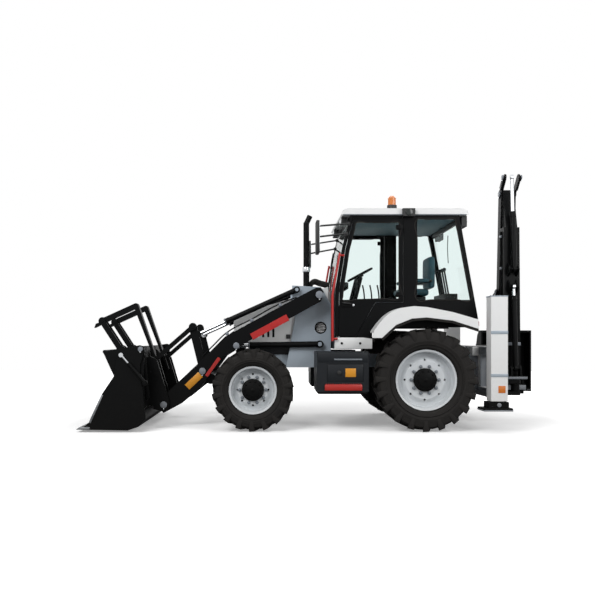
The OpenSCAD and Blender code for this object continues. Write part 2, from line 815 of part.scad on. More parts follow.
// Carriage on the rails with the two hinge ears of the kingpost
module carriage() {
    color(black) from_axle() shifted() {
        box([frame_rear + slide_gap, -250, 395], [frame_rear + 50, 250, 1095]);
        for (z = [400, 560])
            difference() {
                union() {
                    translate([0, 0, z]) linear_extrude(50) polygon([[frame_rear + 45, -170], [frame_rear + 45, 170],
                        [frame_rear + 170, 72], [swing_x, 72], [swing_x, -72], [frame_rear + 170, -72]]);
                    translate([swing_x, 0, z]) cylinder(h = 50, r = 72);
                }
                translate([swing_x, 0, z - 1]) cylinder(h = 52, r = 32 + pin_gap);
            }
        both_sides() box([frame_rear + 50, 170, 420], [frame_rear + 90, 200, 1080]);
    }
}

// Kingpost that swings the backhoe, with the boom foot clevis
module kingpost() {
    color(black) from_axle() swung() {
        translate([swing_x, 0, 396]) cylinder(h = 240, r = 32);
        translate([swing_x, 0, 456]) cylinder(h = 98, r = 60);
        box([swing_x, -boom_half - 40, 462], [boom_foot.x - 68, boom_half + 40, 548]);
        box([swing_x - 60, -boom_half - 40, 617], [swing_x + 80, boom_half + 40, 660]);
        both_sides() across(boom_half + 10, boom_half + 40) polygon([[swing_x + 80, 410], [boom_foot.x + 60, 410],
            boom_foot + [80, 0], boom_foot + [60, 80], [boom_foot.x + 20, 660], [swing_x + 20, 660],
            [swing_x + 20, 617], [swing_x + 80, 617]]);
        pin_y(boom_foot, 34, -boom_half - 46, boom_half + 46);
        both_sides() across(50, 75) polygon([[swing_x - 60, 655], [swing_x + 30, 655], boom_base + [38, 0],
            boom_base + [0, 38], boom_base + [-38, 0]]);
        pin_y(boom_base, 22, -80, 80);
    }
}

boom_d = 75;

// Boom with its cranked head
module boom() {
    color(black) from_axle() swung() {
        difference() {
            across(-boom_half, boom_half) {
                translate(boom_foot) circle(58);
                polygon(concat(at(boom_foot, [[-45, 0], [45, 0], [boom_d + 4, 90]]),
                    [boom_knee + [boom_d, 0], boom_knee + [-boom_d, 0]], at(boom_foot, [[-boom_d + 4, 90]])));
            }
            pin_y(boom_foot, 34 + pin_gap, -boom_half - 1, boom_half + 1);
        }
        across(-head_half, head_half) polygon([boom_knee + [boom_d, -100], boom_knee + [-boom_d, -100], boom_knee + [-boom_d, 0],
            boom_head + [-62, 0], boom_head + [-30, 55], boom_head + [30, 55], boom_head + [62, 0]]);
        pin_y(boom_head, 30, -ear_in - 24, ear_in + 24);
        both_sides() {
            across(45, 65) polygon([boom_eye + [0, 45], boom_eye + [-42, 0], boom_eye + [0, -45],
                boom_eye + [90, -140], boom_eye + [90, 140]]);
            across(46, 66) polygon([crowd_base + [0, 42], crowd_base + [-40, 0], crowd_base + [0, -42],
                crowd_base + [130, -120], crowd_base + [130, 120]]);
        }
        pin_y(crowd_base, 20, -70, 70);
    }
}

module boom_barrel() {
    color(black) from_axle() swung() difference() {
        barrel(boom_base, boom_eye, 1000, 38, 28, 0, 44);
        pin_y(boom_base, 22 + pin_gap, -60, 60);
    }
}

module boom_rod() {
    color(silver) from_axle() swung() piston_rod(boom_base, boom_eye, 250, 24, 0, 40);
}

dipper_d = 58;
dipper_fork = along(boom_head, dipper_tip, 600);

// Dipper: ears round the boom head, box arm below, tail above
module dipper() {
    color(black) from_axle() swung() {
        difference() {
            both_sides() across(ear_in, ear_in + 20) {
                bar2(boom_head, along(boom_head, dipper_tip, 650), 2 * dipper_d);
                link2(boom_head, dipper_tail, 100, 66, 45);
            }
            pin_y(boom_head, 30 + pin_gap, -ear_in - 34, ear_in + 34);
        }
        difference() {
            across(-ear_in - 20, ear_in + 20) {
                bar2(dipper_fork, along(boom_head, dipper_tip, norm(dipper_tip - boom_head) - 40), 2 * dipper_d);
                translate(dipper_tip) circle(52);
            }
            pin_y(dipper_tip, 28 + pin_gap, -ear_in - 34, ear_in + 34);
        }
        both_sides() across(46, 66) polygon([dig_base + [0, 40], dig_base + [40, 0], dig_base + [0, -40],
            dig_base + [-80, -110], dig_base + [-80, 110]]);
        pin_y(lever_dip, 22, -ear_in - 50, ear_in + 50);
    }
}

bucket_back = swing_x + 620;
dig_outline = [dipper_tip + [-75, -190], dipper_tip + [40, -190], [bucket_back - 60, 1230],
    [bucket_back, 1080], [bucket_back, 800], [bucket_back - 45, 600], [bucket_back - 140, 460],
    [bucket_back - 255, 425], [bucket_back - 255, 460]];
dig_inside = [dipper_tip + [-80, -220], dipper_tip + [30, -220], [bucket_back - 84, 1205],
    [bucket_back - 28, 1070], [bucket_back - 28, 806], [bucket_back - 70, 614], [bucket_back - 152, 488],
    [bucket_back - 300, 455]];

// Digging bucket with its hinge ears and teeth
module dig_bucket() {
    color(black) from_axle() swung() {
        difference() {
            across(-dig_half, dig_half) polygon(dig_outline);
            across(-dig_half + 20, dig_half - 20) polygon(dig_inside);
        }
        both_sides() across(ear_in + 26, ear_in + 50) {
            link2(dipper_tip, dig_ear, 90, 50, 42);
            polygon([dipper_tip + [-75, -40], dipper_tip + [40, 20], dig_ear + [40, 0], dig_ear + [30, -150],
                dipper_tip + [-75, -225]]);
        }
        pin_y(dipper_tip, 28, -ear_in - 54, ear_in + 54);
        for (i = [-2 : 2])
            translate([0, i * (dig_half - 30) / 2, 0]) across(-24, 24) polygon([[bucket_back - 240, 425],
                [bucket_back - 240, 452], [bucket_back - 268, 448], [bucket_back - 278, 425]]);
    }
}

// Tipping lever and link between the dipper and the bucket
module tipping_lever() {
    color(black) from_axle() swung() both_sides() difference() {
        across(ear_in + 26, ear_in + 46) link2(lever_dip, lever_tip, 70, 46, 44);
        pin_y(lever_dip, 22 + pin_gap, ear_in + 14, ear_in + 54);
    }
}

// Barrels of the crowd cylinder on the boom
module crowd_barrel() {
    color(black) from_axle() swung() difference() {
        barrel(crowd_base, dipper_tail, 800, 38, 28, 0, 42);
        pin_y(crowd_base, 20 + pin_gap, -60, 60);
    }
}

module crowd_rod() {
    color(silver) from_axle() swung() piston_rod(crowd_base, dipper_tail, 500, 24, 0, 38);
}

// Bucket cylinder on the dipper's back
module dig_barrel() {
    color(black) from_axle() swung() barrel(dig_base, lever_tip, 660, 34, 25, 0, 38);
}

module dig_rod() {
    color(silver) from_axle() swung() piston_rod(dig_base, lever_tip, 290, 21, 0, 36);
}

// Link between the tipping lever and the bucket's ears
module dig_link() {
    color(black) from_axle() swung() both_sides() across(ear_in + 56, ear_in + 76) link2(lever_tip, dig_ear, 60, 40, 40);
}

main_frame();
engine_block();
knuckle_left();
knuckle_right();
tyre_front_left();
tyre_front_right();
tyre_rear_left();
tyre_rear_right();
rim_front_left();
rim_front_right();
rim_rear_left();
rim_rear_right();
side_boxes();
cowl();
nose();
hood();
exhaust();
cab_frame();
cab_roof();
cab_glass();
door_left();
door_right();
door_glass_left();
door_glass_right();
fenders();
seat();
beacon();
grab_rails();
loader_arms();
safety_strut();
tilt_levers();
tilt_links();
lift_barrels();
lift_rods();
tilt_barrels();
tilt_rods();
loader_bucket();
clam();
clam_barrels();
clam_rods();
forks();
rear_frame();
leg_left();
leg_right();
carriage();
kingpost();
boom();
dipper();
dig_bucket();
tipping_lever();
dig_link();
boom_barrel();
boom_rod();
crowd_barrel();
crowd_rod();
dig_barrel();
dig_rod();
axles();
cab_controls();
lamps_and_mirrors();
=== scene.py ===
import math
import bpy
from mathutils import Matrix, Vector


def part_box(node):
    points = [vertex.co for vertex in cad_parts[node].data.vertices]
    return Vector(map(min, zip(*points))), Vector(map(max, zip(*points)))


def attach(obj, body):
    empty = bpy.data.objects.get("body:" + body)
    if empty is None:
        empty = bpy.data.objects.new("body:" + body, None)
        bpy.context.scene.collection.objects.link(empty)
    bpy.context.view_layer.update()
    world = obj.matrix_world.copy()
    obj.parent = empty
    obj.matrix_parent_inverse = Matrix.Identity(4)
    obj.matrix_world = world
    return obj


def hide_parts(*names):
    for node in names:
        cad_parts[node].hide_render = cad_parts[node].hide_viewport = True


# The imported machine, in metres: front towards -X, left side towards -Y, ground at Z = 0
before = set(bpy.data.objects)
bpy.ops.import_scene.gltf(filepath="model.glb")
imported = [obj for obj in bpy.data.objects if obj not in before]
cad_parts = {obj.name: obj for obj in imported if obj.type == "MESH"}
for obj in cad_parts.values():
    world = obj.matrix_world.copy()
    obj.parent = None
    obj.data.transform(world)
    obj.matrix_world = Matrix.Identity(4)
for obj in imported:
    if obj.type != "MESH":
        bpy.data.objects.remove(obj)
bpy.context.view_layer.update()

# Rear axle's place along the machine, and small sizes used all over
AXLE_X = (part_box("tyre_rear_left")[0].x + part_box("tyre_rear_left")[1].x) / 2
EDGE = 0.004


def at(x, y, z):
    """A point given in millimetres from the rear axle."""
    return Vector((AXLE_X + x / 1000, y / 1000, z / 1000))


# Materials


def linear(hex_colour):
    """An sRGB hex colour as linear red, green, blue, alpha."""
    parts = [int(hex_colour[i:i + 2], 16) / 255 for i in (1, 3, 5)]
    return [c / 12.92 if c <= 0.04045 else ((c + 0.055) / 1.055) ** 2.4 for c in parts] + [1.0]


def add(tree, kind, settings=None, links=None):
    """One node with its settings and its incoming links."""
    made = tree.nodes.new(kind)
    for key, value in (settings or {}).items():
        if isinstance(key, str) and hasattr(made, key):
            setattr(made, key, value)
        else:
            made.inputs[key].default_value = value
    for key, source in (links or {}).items():
        tree.links.new(source, made.inputs[key])
    return made


def begin(name):
    """A new material: its tree, its main shader and its object coordinates."""
    made = bpy.data.materials.new(name)
    made.use_nodes = True
    tree = made.node_tree
    return made, tree, tree.nodes["Principled BSDF"], add(tree, "ShaderNodeTexCoord").outputs["Object"]


def between(tree, source, low, high):
    """A factor turned into a span of values."""
    return add(tree, "ShaderNodeMapRange", {"To Min": low, "To Max": high}, {"Value": source}).outputs["Result"]


def sprayed_paint(name, colour, dusty, rough, peel=0.06, sheen=0.5):
    """Sprayed enamel on steel: an even gloss with faint orange peel, and road dust thin on its lower parts."""
    made, tree, shader, place = begin(name)
    cloud = add(tree, "ShaderNodeTexNoise", {"Scale": 2.2, "Detail": 5.0}, {"Vector": place}).outputs["Fac"]
    grit = add(tree, "ShaderNodeTexNoise", {"Scale": 34.0, "Detail": 4.0}, {"Vector": place}).outputs["Fac"]
    height = add(tree, "ShaderNodeSeparateXYZ", None, {"Vector": place}).outputs["Z"]
    low = add(tree, "ShaderNodeMapRange", {"From Min": 1.3, "From Max": 0.1, "To Min": 0.0, "To Max": 0.5},
              {"Value": height}).outputs["Result"]
    dust = add(tree, "ShaderNodeMath", {"operation": "MULTIPLY"}, {0: low, 1: between(tree, grit, 0.0, 0.7)}).outputs[0]
    shade = add(tree, "ShaderNodeMix", {"data_type": "RGBA", 6: linear(colour), 7: linear(dusty)},
                {0: dust}).outputs[2]
    tree.links.new(shade, shader.inputs["Base Color"])
    tree.links.new(between(tree, cloud, rough - 0.05, rough + 0.10), shader.inputs["Roughness"])
    skin = add(tree, "ShaderNodeTexNoise", {"Scale": 420.0, "Detail": 2.0}, {"Vector": place}).outputs["Fac"]
    soft = add(tree, "ShaderNodeBevel", {"samples": 4, "Radius": 0.005}).outputs["Normal"]
    bump = add(tree, "ShaderNodeBump", {"Strength": peel, "Distance": 0.001}, {"Height": skin, "Normal": soft})
    tree.links.new(bump.outputs["Normal"], shader.inputs["Normal"])
    shader.inputs["Specular IOR Level"].default_value = sheen
    shader.inputs["Coat Weight"].default_value = 0.2 * sheen
    shader.inputs["Coat Roughness"].default_value = 0.15
    return made


def worn_steel():
    """Bucket edges: ground bare steel, scratched along the digging direction."""
    made, tree, shader, place = begin("ground_steel")
    stretched = add(tree, "ShaderNodeMapping", {"Scale": (6.0, 90.0, 30.0)}, {"Vector": place}).outputs["Vector"]
    lines = add(tree, "ShaderNodeTexNoise", {"Scale": 3.0, "Detail": 6.0}, {"Vector": stretched}).outputs["Fac"]
    shade = add(tree, "ShaderNodeMix", {"data_type": "RGBA", 6: linear("#54565a"), 7: linear("#a9abad")},
                {0: lines}).outputs[2]
    tree.links.new(shade, shader.inputs["Base Color"])
    tree.links.new(between(tree, lines, 0.25, 0.55), shader.inputs["Roughness"])
    shader.inputs["Metallic"].default_value = 0.9
    return made


def chromed_rod():
    """Hard chrome on a ground piston rod: near mirror, with faint rings round it."""
    made, tree, shader, place = begin("hard_chrome")
    haze = add(tree, "ShaderNodeTexNoise", {"Scale": 60.0, "Detail": 3.0}, {"Vector": place}).outputs["Fac"]
    tree.links.new(between(tree, haze, 0.08, 0.22), shader.inputs["Roughness"])
    shader.inputs["Base Color"].default_value = linear("#d3d6d9")
    shader.inputs["Metallic"].default_value = 1.0
    return made


def tyre_rubber():
    """Moulded carbon-black rubber: dull, greyed by dust, a fine grain from the mould."""
    made, tree, shader, place = begin("tyre_rubber")
    cloud = add(tree, "ShaderNodeTexNoise", {"Scale": 5.0, "Detail": 7.0}, {"Vector": place}).outputs["Fac"]
    shade = add(tree, "ShaderNodeMix", {"data_type": "RGBA", 6: linear("#161515"), 7: linear("#2b2927")},
                {0: cloud}).outputs[2]
    tree.links.new(shade, shader.inputs["Base Color"])
    tree.links.new(between(tree, cloud, 0.7, 0.9), shader.inputs["Roughness"])
    shader.inputs["Specular IOR Level"].default_value = 0.2
    grain = add(tree, "ShaderNodeTexNoise", {"Scale": 300.0, "Detail": 3.0}, {"Vector": place}).outputs["Fac"]
    soft = add(tree, "ShaderNodeBevel", {"samples": 4, "Radius": 0.006}).outputs["Normal"]
    bump = add(tree, "ShaderNodeBump", {"Strength": 0.25, "Distance": 0.001}, {"Height": grain, "Normal": soft})
    tree.links.new(bump.outputs["Normal"], shader.inputs["Normal"])
    return made


def tinted_glass():
    """Toughened cab glass: clear with a faint green-blue body tint and a polished face."""
    made, tree, shader, place = begin("toughened_glass")
    smear = add(tree, "ShaderNodeTexNoise", {"Scale": 3.0, "Detail": 4.0}, {"Vector": place}).outputs["Fac"]
    tree.links.new(between(tree, smear, 0.0, 0.05), shader.inputs["Roughness"])
    shader.inputs["Base Color"].default_value = linear("#f2f9f8")
    shader.inputs["Transmission Weight"].default_value = 1.0
    shader.inputs["IOR"].default_value = 1.05
    shader.inputs["Specular IOR Level"].default_value = 0.5
    return made


def moulded_plastic(name, colour, rough, grain_mm=1.2):
    """Injection-moulded plastic: an even colour with a pebbled grain cut into the mould."""
    made, tree, shader, place = begin(name)
    cells = add(tree, "ShaderNodeTexVoronoi", {"Scale": 1000 / grain_mm / 4}, {"Vector": place}).outputs["Distance"]
    cloud = add(tree, "ShaderNodeTexNoise", {"Scale": 9.0, "Detail": 4.0}, {"Vector": place}).outputs["Fac"]
    tree.links.new(between(tree, cloud, rough - 0.08, rough + 0.08), shader.inputs["Roughness"])
    tint = [c * 1.35 for c in linear(colour)[:3]] + [1.0]
    shade = add(tree, "ShaderNodeMix", {"data_type": "RGBA", 6: linear(colour), 7: tint}, {0: cloud}).outputs[2]
    tree.links.new(shade, shader.inputs["Base Color"])
    soft = add(tree, "ShaderNodeBevel", {"samples": 4, "Radius": 0.004}).outputs["Normal"]
    bump = add(tree, "ShaderNodeBump", {"Strength": 0.2, "Distance": 0.0006}, {"Height": cells, "Normal": soft})
    tree.links.new(bump.outputs["Normal"], shader.inputs["Normal"])
    return made


def clear_lens(name, colour):
    """Polycarbonate lens: coloured through, with moulded prism bars behind a smooth face."""
    made, tree, shader, place = begin(name)
    bars = add(tree, "ShaderNodeTexWave", {"Scale": 30.0, "Distortion": 0.3}, {"Vector": place}).outputs["Fac"]
    bump = add(tree, "ShaderNodeBump", {"Strength": 0.4, "Distance": 0.002}, {"Height": bars}).outputs["Normal"]
    tree.links.new(bump, shader.inputs["Normal"])
    shader.inputs["Base Color"].default_value = linear(colour)
    shader.inputs["Roughness"].default_value = 0.08
    shader.inputs["Coat Weight"].default_value = 0.6
    shader.inputs["Transmission Weight"].default_value = 0.06
    return made


def mirror_silver():
    """Silvered mirror glass behind a polished face."""
    made, tree, shader, place = begin("mirror_silver")
    haze = add(tree, "ShaderNodeTexNoise", {"Scale": 12.0, "Detail": 2.0}, {"Vector": place}).outputs["Fac"]
    tree.links.new(between(tree, haze, 0.02, 0.07), shader.inputs["Roughness"])
    shader.inputs["Base Color"].default_value = linear("#dfe3e6")
    shader.inputs["Metallic"].default_value = 1.0
    return made


WHITE = sprayed_paint("white_enamel", "#e9eaea", "#b9b2a4", 0.32)
GREY = sprayed_paint("grey_blue_enamel", "#9fabb6", "#a39c90", 0.38)
RIM = sprayed_paint("wheel_enamel", "#d3d8dc", "#a39b8e", 0.40)
BLACK = sprayed_paint("black_enamel", "#0b0c0d", "#211f1c", 0.36, sheen=0.07)
STEEL_GREY = sprayed_paint("steel_grey_enamel", "#7b8189", "#8d8678", 0.42)
SLATE = sprayed_paint("slate_enamel", "#171b20", "#34312c", 0.42, sheen=0.2)
RED = sprayed_paint("red_enamel", "#b3130f", "#8d5a48", 0.34)
AMBER_PAINT = sprayed_paint("amber_enamel", "#dc910f", "#a88b54", 0.40)
GROUND = worn_steel()
CHROME = chromed_rod()
RUBBER = tyre_rubber()
GLASS = tinted_glass()
PLASTIC = moulded_plastic("black_abs", "#0c0d0e", 0.55)
GREY_PLASTIC = moulded_plastic("grey_abs", "#6a7076", 0.5)
LINER = moulded_plastic("teal_headliner", "#243b43", 0.75, 3.0)
VINYL = moulded_plastic("seat_vinyl", "#254751", 0.6, 2.0)
AMBER = clear_lens("amber_polycarbonate", "#d9771d")
CLEAR = clear_lens("clear_polycarbonate", "#dfe4e6")
RED_LENS = clear_lens("red_polycarbonate", "#a01815")
MIRROR = mirror_silver()
# Opaque near-black sheet in place of glass: painted shade of the dark inside that lies behind the glass.
SHADE_PAINTED_GLASS = sprayed_paint("glass_with_painted_shade", "#0a1512", "#141d1a", 0.10, 0.0)

NODE_FINISH = {
    WHITE: "cowl hood fenders cab_roof rear_frame",
    GREY: "main_frame",
    RIM: "rim_front_left rim_front_right rim_rear_left rim_rear_right",
    BLACK: "axles knuckle_left knuckle_right nose exhaust door_left door_right cab_frame loader_arms tilt_levers"
           " tilt_links lift_barrels tilt_barrels loader_bucket clam clam_barrels forks carriage kingpost boom"
           " dipper dig_bucket tipping_lever dig_link boom_barrel crowd_barrel dig_barrel leg_left leg_right",
    SLATE: "engine_block side_boxes",
    RED: "safety_strut grab_rails",
    CHROME: "lift_rods tilt_rods clam_rods boom_rod crowd_rod dig_rod",
    RUBBER: "tyre_front_left tyre_front_right tyre_rear_left tyre_rear_right",
    GLASS: "cab_glass door_glass_left door_glass_right",
    PLASTIC: "seat cab_controls lamps_and_mirrors",
    AMBER: "beacon",
}
for finish, names in NODE_FINISH.items():
    for name in names.split():
        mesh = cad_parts[name].data
        mesh.materials.clear()
        mesh.materials.append(finish)


# Modelling helpers


def clear_selection():
    """Nothing is selected before a primitive is added."""
    bpy.ops.object.select_all(action="DESELECT")


SWUNG = "kingpost boom dipper dig_bucket tipping_lever dig_link boom_barrel boom_rod crowd_rod dig_rod".split()
# Millimetres: the swing pin behind the rear axle, and the carriage's place to the left at rest
SWING_X = 1420
CARRIAGE_Y = -250


def ride(piece, body):
    """Hands a piece to its body; the backhoe is drawn straight back and folded across here."""
    if body in SWUNG:
        piece.data.transform(Matrix.Translation(at(SWING_X, CARRIAGE_Y, 0)) @ Matrix.Rotation(math.pi / 2, 4, "Z")
                             @ Matrix.Translation(-at(SWING_X, 0, 0)))
    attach(piece, body)


def settle(piece, name, material, body, smooth_deg=35):
    """Puts the place into the mesh, gives the finish and hands the piece to its body."""
    piece.name = name
    clear_selection()
    piece.select_set(True)
    bpy.context.view_layer.objects.active = piece
    bpy.ops.object.transform_apply(location=True, rotation=True, scale=True)
    bpy.ops.object.mode_set(mode="EDIT")
    bpy.ops.mesh.select_all(action="SELECT")
    bpy.ops.mesh.normals_make_consistent(inside=False)
    bpy.ops.object.mode_set(mode="OBJECT")
    bpy.ops.object.shade_smooth_by_angle(angle=math.radians(smooth_deg))
    piece.data.materials.clear()
    piece.data.materials.append(material)
    if body:
        ride(piece, body)
    return piece


def round_edges(piece, width, segments=2):
    """A bevel on every sharp edge, applied."""
    bevel = piece.modifiers.new("edges", "BEVEL")
    bevel.width = width
    bevel.segments = segments
    bevel.limit_method = "ANGLE"
    bpy.context.view_layer.objects.active = piece
    bpy.ops.object.modifier_apply(modifier=bevel.name)


def block(name, low, high, material, body, edge=EDGE):
    """A box between two corners with rounded edges."""
    clear_selection()
    middle = (low + high) / 2
    bpy.ops.mesh.primitive_cube_add(size=1, location=middle)
    piece = bpy.context.object
    piece.scale = high - low
    bpy.ops.object.transform_apply(location=True, rotation=True, scale=True)
    round_edges(piece, edge)
    return settle(piece, name, material, body)


def drum(name, start, end, radius, material, body, edge=EDGE, sides=40, end_radius=None):
    """A round bar between two points with rounded rims."""
    clear_selection()
    run = end - start
    bpy.ops.mesh.primitive_cone_add(vertices=sides, radius1=radius, radius2=end_radius or radius, depth=run.length,
                                    location=(start + end) / 2, rotation=run.to_track_quat("Z", "Y").to_euler())
    piece = bpy.context.object
    bpy.ops.object.transform_apply(location=True, rotation=True, scale=True)
    round_edges(piece, edge)
    return settle(piece, name, material, body)


def side_plate(name, outline, y_low, y_high, material, body, edge=EDGE):
    """A side-view outline in millimetres from the rear axle, made solid between two planes."""
    clear_selection()
    mesh = bpy.data.meshes.new(name)
    corners = [at(x, y_low, z) for x, z in outline]
    mesh.from_pydata(corners, [], [list(range(len(corners)))])
    piece = bpy.data.objects.new(name, mesh)
    bpy.context.scene.collection.objects.link(piece)
    piece.select_set(True)
    bpy.context.view_layer.objects.active = piece
    bpy.ops.object.mode_set(mode="EDIT")
    bpy.ops.mesh.select_all(action="SELECT")
    bpy.ops.mesh.extrude_region_move(TRANSFORM_OT_translate={"value": (0, (y_high - y_low) / 1000, 0)})
    bpy.ops.mesh.select_all(action="SELECT")
    bpy.ops.mesh.normals_make_consistent(inside=False)
    bpy.ops.object.mode_set(mode="OBJECT")
    round_edges(piece, edge)
    return settle(piece, name, material, body)


def pipe(name, points, radius, material, body, closed=False):
    """A bent round tube through points, with its bends rounded by a smooth curve."""
    clear_selection()
    curve = bpy.data.curves.new(name, "CURVE")
    curve.dimensions = "3D"
    curve.bevel_depth = radius
    curve.bevel_resolution = 3
    curve.use_fill_caps = True
    line = curve.splines.new("BEZIER")
    line.bezier_points.add(len(points) - 1)
    for knot, place in zip(line.bezier_points, points):
        knot.co = place
        knot.handle_left_type = knot.handle_right_type = "AUTO"
    line.use_cyclic_u = closed
    line.resolution_u = 6
    piece = bpy.data.objects.new(name, curve)
    bpy.context.scene.collection.objects.link(piece)
    piece.select_set(True)
    bpy.context.view_layer.objects.active = piece
    bpy.ops.object.convert(target="MESH")
    return settle(bpy.context.object, name, material, body, 60)


def joined(name, pieces, body):
    """Several pieces of one kind made one object."""
    clear_selection()
    for piece in pieces:
        piece.select_set(True)
    bpy.context.view_layer.objects.active = pieces[0]
    bpy.ops.object.join()
    made = bpy.context.object
    made.name = name
    ride(made, body)
    return made


def hex_heads(name, places, outward, radius, material, body):
    """Hexagon bolt heads on washers at the given places, pointing outward."""
    heads = []
    for place in places:
        washer = drum("washer", place, place + outward * radius * 0.25, radius * 1.35, material, None, 0.001, 20)
        head = drum("head", place + outward * radius * 0.2, place + outward * radius * 0.95, radius, material, None,
                    0.0015, 6)
        heads += [washer, head]
    return joined(name, heads, body)


def swap(point, y):
    """A side-view point with its place across the machine."""
    return point[0], y, point[1]


def thick_loop(outline, steps=4):
    """An outline with points added along its sides, so that a smooth tube through them keeps its corners."""
    loop = []
    for i, (x, z) in enumerate(outline):
        nx, nz = outline[(i + 1) % len(outline)]
        loop += [(x + (nx - x) * k / steps, z + (nz - z) * k / steps) for k in range(steps)]
    return loop


def corner_pair(a, b):
    """Two corners put in order."""
    low = Vector([min(p, q) for p, q in zip(a, b)])
    high = Vector([max(p, q) for p, q in zip(a, b)])
    return low, high


SIDES = (("left", -1), ("right", 1))
OUT = {"left": Vector((0, -1, 0)), "right": Vector((0, 1, 0))}


# Wheels

# Metres: hub radius, rim face out from the wheel's middle, and radius of the rim's dish
HUBS = {"front": (0.128, 0.049, 0.25), "rear": (0.134, 0.069, 0.26)}
HUB_BOLTS = 10


def wheel_centres():
    """Middle of each wheel with its side and body."""
    for end in ("front", "rear"):
        for side, _ in SIDES:
            low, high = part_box("tyre_%s_%s" % (end, side))
            yield end, side, (low + high) / 2


def hub_cap(end, side, middle):
    """Black planetary hub: stepped cap, filler plug and a ring of small bolts."""
    out = OUT[side]
    body = "wheel_%s_%s" % (end, side)
    radius, face, dish = HUBS[end]
    rim_face = middle + out * face
    hub_end = rim_face + out * 0.056
    parts = [drum("hub_flange", rim_face, rim_face + out * 0.03, radius * 1.12, BLACK, None, 0.005),
             drum("hub_drum", rim_face, hub_end, radius, BLACK, None, 0.008),
             drum("hub_cover", hub_end, hub_end + out * 0.012, radius * 0.72, BLACK, None, 0.004),
             drum("hub_plug", hub_end, hub_end + out * 0.022, 0.022, BLACK, None, 0.003, 8)]
    joined("hub_%s_%s" % (end, side), parts, body)
    ring = [Vector((math.cos(a), 0, math.sin(a))) for a in [math.tau * i / HUB_BOLTS for i in range(HUB_BOLTS)]]
    hex_heads("hub_bolts_%s_%s" % (end, side), [hub_end + d * radius * 0.85 for d in ring], out, 0.009, BLACK, body)
    nut_ring = 0.68 * dish
    hex_heads("wheel_nuts_%s_%s" % (end, side), [rim_face + out * 0.012 + d * nut_ring for d in ring], out, 0.016,
              GREY_PLASTIC, body)


def wall_rings(end, side, middle):
    """Raised rings moulded on the tyre's outer wall."""
    low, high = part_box("tyre_%s_%s" % (end, side))
    radius = (high.z - low.z) / 2
    half = (high.y - low.y) / 2
    out = OUT[side]
    body = "wheel_%s_%s" % (end, side)
    rings = []
    for share, inset in ((0.80, 0.02), (0.70, 0.012)):
        clear_selection()
        bpy.ops.mesh.primitive_torus_add(major_radius=radius * share, minor_radius=0.006, major_segments=72,
                                         minor_segments=8, location=middle + out * (half - inset * half * 2),
                                         rotation=(math.pi / 2, 0, 0))
        rings.append(settle(bpy.context.object, "wall_ring", RUBBER, None))
    joined("wall_rings_%s_%s" % (end, side), rings, body)


# Millimetres over the lugs and across the tread, with the number of lugs
TYRES = {"front": (1050, 400, 18), "rear": (1310, 430, 20)}
LUG_HEIGHT = 38


def shoulder_lugs(end, side, middle):
    """The tread bars carried down over both shoulders of the tyre."""
    across, width, count = TYRES[end]
    tread = across / 2 - LUG_HEIGHT
    bar = math.pi * across / count * 0.4
    centre = (middle - at(0, 0, 0)) * 1000
    mirrored = 1 if side == "left" else -1
    bars = []
    for i in range(count):
        for face in (-1, 1):
            turn = math.tau * (i + face * mirrored / 4) / count
            corners = [(width * 0.14 + u, tread + v) for u, v in
                       ((-bar * 0.30, -118), (bar * 0.16, -118), (bar * 0.42, -20), (bar * 0.42, 26), (-bar * 0.42, 26),
                        (-bar * 0.42, -20))]
            outline = [(centre.x + u * math.cos(turn) + v * math.sin(turn),
                        centre.z - u * math.sin(turn) + v * math.cos(turn)) for u, v in corners]
            ends = sorted((centre.y + face * width * 0.40, centre.y + face * width * 0.496))
            bars.append(side_plate("shoulder_lug", outline, ends[0], ends[1], RUBBER, None, 0.006))
    joined("shoulder_lugs_%s_%s" % (end, side), bars, "wheel_%s_%s" % (end, side))


for end, side, middle in wheel_centres():
    hub_cap(end, side, middle)
    shoulder_lugs(end, side, middle)
    wall_rings(end, side, middle)


# Cab and body

# Millimetres from the rear axle: cab sides, door hinge axis, window outlines, side boxes, exhaust stack
CAB_HALF = 780
HINGE_X = -225
HINGE_Y = CAB_HALF + 8
DOOR_WINDOW = [(-1030, 1690), (-1016, 1855), (-940, 2350), (-848, 2705), (-290, 2705), (-290, 1710)]
QUARTER_WINDOW = [(-50, 1690), (-50, 2750), (445, 2750), (485, 2580), (652, 1690)]
BOX_OUT = 1000
STACK = (-1480, -300)
RIB_PITCH = 29
LEVER_PITCH = 110
WIRE_PITCH = 40.7
HOOD_EDGE_Z = 1130


def sills():
    """White sill under each door with two bolts."""
    for side, sign in SIDES:
        y = sorted((sign * (CAB_HALF + 1), sign * (CAB_HALF + 15)))
        side_plate("sill_" + side, [(-1138, 1048), (-640, 1048), (-640, 1180), (-760, 1196), (-1134, 1196)], y[0], y[1],
                   WHITE, "chassis", 0.006)
        hex_heads("sill_bolts_" + side, [at(x, sign * (CAB_HALF + 15), 1120) for x in (-1040, -800)], OUT[side], 0.012,
                  BLACK, "chassis")


